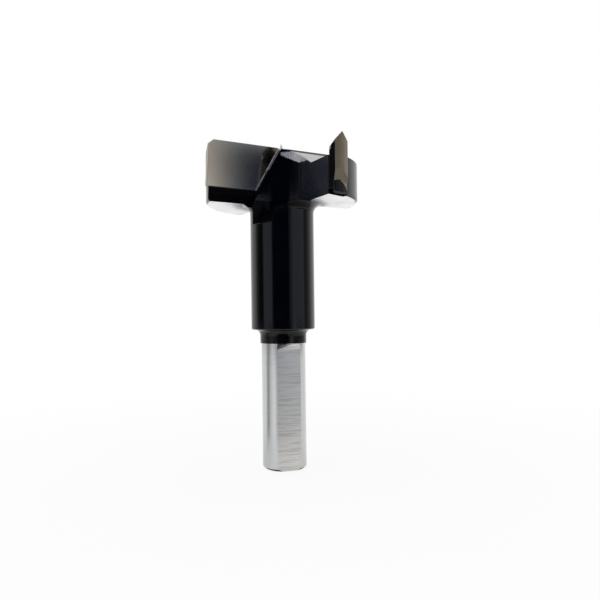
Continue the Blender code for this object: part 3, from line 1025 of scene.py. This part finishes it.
def seat_filling(label, turn):
    """Brazing metal round the back, the underside and the inner end of one cutting plate."""
    to_world = face_frame(turn)
    back = PLATE_THICKNESS + BRAZE_GAP - SKIN
    bottom = PLATE_HEIGHT + BRAZE_GAP - SKIN
    fall = math.tan(RELIEF + RAKE)
    section = [(-back, -bottom), (-SUNK, -bottom), (-SUNK, -SUNK - SUNK * fall), (-back, -SUNK - back * fall)]
    blank = prism(f"seat_braze_{label}", section, 0.0, BLANK_LENGTH, to_world, "yz")
    front = slanted_outline(FAR_DOWN, BRAZE_GAP - SKIN)
    plate = slanted_outline(PLATE_HEIGHT + SKIN, SKIN)
    steps = [
        (prism("front", front, -FAR_OUT, FAR_OUT, to_world, "xz"), "INTERSECT"),
        (rim_round(HEAD_RADIUS - 2.0 * SKIN), "INTERSECT"),
        (prism("plate", plate, -PLATE_THICKNESS - SKIN, FAR_OUT, to_world, "xz"), "DIFFERENCE"),
    ]
    return carved(blank, steps, enamel)


for label, turn in WINGS:
    seat_filling(label, turn)

# %% [markdown]
# Each spur leans out in a slot that goes through the rim, and the alloy fills the slot behind the
# spur, beside it and under its foot. Under spur A it is flush with the bare underside, and under
# spur B it stops short and leaves a small dark hollow.

# %% Fillings of the spurs' slots
FOOT_RECESS = {"a": 0.02, "b": 0.9}
FOOT_METAL = {"a": underside_steel, "b": enamel}
LOBE_SINK = 0.06
SIDE_SINK = 0.05
FAR_ABOVE = 90.0
PAST_FACE = 1.0
PAST_SIDE = 9.0


def lean_at(level):
    """How far out the spur's leaning face lies at a level."""
    return HEAD_RADIUS + (level - SPUR_EMERGES) * math.tan(SPUR_LEAN)


def spur_filling(label, turn):
    """Painted brazing metal behind and beside one spur, up to the top of its lobe."""
    low, high = HEAD_BOTTOM + FOOT_RECESS[label], LOBE_TOP - LOBE_SINK
    back = SPUR_BACK - BRAZE_GAP + SKIN
    section = [(back, low), (lean_at(low) - SKIN, low), (lean_at(high) - SKIN, high), (back, high)]
    half = SPUR_WIDTH / 2.0
    sides = (-half + SIDE_SINK, half + BRAZE_GAP - SKIN)
    blank = prism(f"spur_braze_{label}", section, *sides, spur_frame(turn), "xz")
    foot, step = SPUR_BOTTOM, SPUR_FACE_START
    spur = [
        (SPUR_BACK - SKIN, foot - SKIN),
        (lean_at(foot) - BRAZE_GAP + SKIN, foot - SKIN),
        (lean_at(step) - BRAZE_GAP + SKIN, step - SKIN),
        (lean_at(step) + PAST_FACE, step - SKIN),
        (lean_at(FAR_ABOVE) + PAST_FACE, FAR_ABOVE),
        (SPUR_BACK - SKIN, FAR_ABOVE),
    ]
    steps = [
        (rim_round(HEAD_RADIUS - SKIN), "INTERSECT"),
        (prism("spur", spur, -half - PAST_SIDE, half + SKIN, spur_frame(turn), "xz"), "DIFFERENCE"),
    ]
    filling = carved(blank, steps, enamel)
    filling.data.materials.append(FOOT_METAL[label])
    for face in filling.data.polygons:
        face.material_index = 1 if face.normal.z < -0.9 else 0
    return filling


for label, turn in WINGS:
    spur_filling(label, turn)

# %% [markdown]
# ## Where the wheel bares the rim
# The outer face of each spur is ground after painting, and the wheel runs a little past the plate
# and bares the rim under it in a half-round patch. It is a thin curved sheet that lies on the rim,
# cut along the curve that the wheel leaves.

# %% Bared patch under each spur
PATCH_COLUMNS = 22
PATCH_ROWS = 6
PATCH_START = -0.5
PATCH_TOP = SPUR_EMERGES + 0.38
PATCH_LEAST_DROP = 0.02
PATCH_DROP = 1.75
PATCH_PROUD = 0.02


def bared_patch(label, turn):
    """A sheet just proud of the rim, from the foot of the spur's face down to a curve."""
    work = bmesh.new()
    grid = []
    for i in range(PATCH_COLUMNS + 1):
        along = PATCH_START + (SPUR_WIDTH / 2.0 - PATCH_START) * i / PATCH_COLUMNS
        drop = PATCH_DROP * (i / PATCH_COLUMNS) ** 2 + PATCH_LEAST_DROP
        line = []
        for j in range(PATCH_ROWS + 1):
            point = spur_frame(turn) @ Vector((HEAD_RADIUS, along, PATCH_TOP - drop * j / PATCH_ROWS))
            reach = (HEAD_RADIUS + PATCH_PROUD) / math.hypot(point.x, point.y)
            line.append(work.verts.new(Vector((point.x * reach, point.y * reach, point.z)) * MM))
        grid.append(line)
    for i in range(PATCH_COLUMNS):
        for j in range(PATCH_ROWS):
            work.faces.new((grid[i][j], grid[i][j + 1], grid[i + 1][j + 1], grid[i + 1][j]))
    bmesh.ops.recalc_face_normals(work, faces=work.faces)
    middle = grid[PATCH_COLUMNS // 2][PATCH_ROWS // 2].co
    if work.faces[0].normal.dot(Vector((middle.x, middle.y, 0.0))) < 0.0:
        bmesh.ops.reverse_faces(work, faces=work.faces)
    for face in work.faces:
        face.smooth = True
    sheet = into_scene(f"bared_rim_{label}", mesh_from(f"bared_rim_{label}", work))
    sheet.data.materials.append(satin_carbide)
    thick = sheet.modifiers.new("thickness", "SOLIDIFY")
    thick.thickness = 2.0 * PATCH_PROUD * MM
    thick.offset = -1.0
    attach(sheet, "root")
    print(sheet.name, "has", len(sheet.data.polygons), "faces")


for label, turn in WINGS:
    bared_patch(label, turn)

# %% [markdown]
# ## The beads along each plate
# Along the slanted inner end of each plate the alloy stands in the corner as a fine bright bead,
# and a painted bead closes the seam under the plate. A bead follows a path, so it is made with
# Geometry Nodes: a line of points is turned into a curve and swept with a small round that swells
# and thins a little along its length. Where the sweep has a Scale input of its own, it takes the
# swelling there too.

# %% A bead that follows a seam
bead_tree = bpy.data.node_groups.new("braze_bead", "GeometryNodeTree")
bead_kinds = {
    "Path": "Geometry", "Bead Radius": "Float", "Swell": "Float", "Step": "Float", "Metal": "Material",
}
bead_inputs = {}
for title, kind in bead_kinds.items():
    socket = bead_tree.interface.new_socket(title, in_out="INPUT", socket_type=f"NodeSocket{kind}")
    bead_inputs[title] = socket.identifier
bead_tree.interface.new_socket("Bead", in_out="OUTPUT", socket_type="NodeSocketGeometry")

given = put(bead_tree, "NodeGroupInput").outputs
path = put(bead_tree, "GeometryNodeMeshToCurve", {0: given["Path"]}).outputs[0]
fine = put(bead_tree, "GeometryNodeResampleCurve", {0: path, "Length": given["Step"]}, mode="LENGTH")
noise = put(bead_tree, "ShaderNodeTexNoise", {"Scale": 900.0, "Detail": 1.0}, noise_dimensions="3D")
swelling = times(bead_tree, minus(bead_tree, noise.outputs[0], 0.5), given["Swell"])
thickness = plus(bead_tree, swelling, 1.0)
wire = put(bead_tree, "GeometryNodeSetCurveRadius", {0: fine.outputs[0], "Radius": thickness})
ring = put(bead_tree, "GeometryNodeCurvePrimitiveCircle", {"Resolution": 10, "Radius": given["Bead Radius"]})
swept = put(bead_tree, "GeometryNodeCurveToMesh", {
    "Curve": wire.outputs[0], "Profile Curve": ring.outputs[0], "Fill Caps": True,
})
if "Scale" in swept.inputs:
    bead_tree.links.new(thickness, swept.inputs["Scale"])
smooth = put(bead_tree, "GeometryNodeSetShadeSmooth", {0: swept.outputs[0]})
real = put(bead_tree, "GeometryNodeRealizeInstances", {0: smooth.outputs[0]})
coated = put(bead_tree, "GeometryNodeSetMaterial", {0: real.outputs[0], "Material": given["Metal"]})
put(bead_tree, "NodeGroupOutput", {0: coated.outputs[0]})
print("bead tree has", len(bead_tree.nodes), "nodes")

# %% [markdown]
# The paths are drawn on the raked face, in the middle of the seam that each bead closes.

# %% Beads beside and under the plates
SEAM_MIDDLE = BRAZE_GAP / 2.0
BEAD_STEP = 0.12
INNER_BEAD = {"radius": 0.14, "swell": 0.5, "metal": bright_braze}
LOWER_BEAD = {"radius": 0.15, "swell": 0.3, "metal": enamel}
INNER_BEAD_SINK = 0.02
LOWER_BEAD_SINK = 0.13


def bead(name, points, to_world, radius, swell, metal):
    """Lays a bead of brazing metal along a path of points in millimetres on the raked face."""
    line = bpy.data.meshes.new(name)
    places = [(to_world @ Vector(point)) * MM for point in points]
    line.from_pydata(places, [(i, i + 1) for i in range(len(places) - 1)], [])
    piece = into_scene(name, line)
    nodes = piece.modifiers.new("bead", "NODES")
    nodes.node_group = bead_tree
    settings = {"Bead Radius": radius * MM, "Swell": swell, "Step": BEAD_STEP * MM, "Metal": metal}
    for title, value in settings.items():
        nodes[bead_inputs[title]] = value
    shape = made_plain(piece)
    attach(piece, "root")
    print(name, "has", len(shape.polygons), "faces")
    return piece


low = PLATE_HEIGHT + SEAM_MIDDLE
inner = [(inner_edge(depth, SEAM_MIDDLE), -INNER_BEAD_SINK, -depth) for depth in (0.25, 3.0, 6.0, low)]
lower_reach = (inner_edge(low, SEAM_MIDDLE) + 0.2, 9.0, HEAD_RADIUS - 0.2)
under = [(out, -LOWER_BEAD_SINK, -low) for out in lower_reach]
for label, turn in WINGS:
    seam = bead(f"inner_bead_{label}", inner, face_frame(turn), **INNER_BEAD)
    hidden = bead(f"lower_bead_{label}", under, face_frame(turn), **LOWER_BEAD)
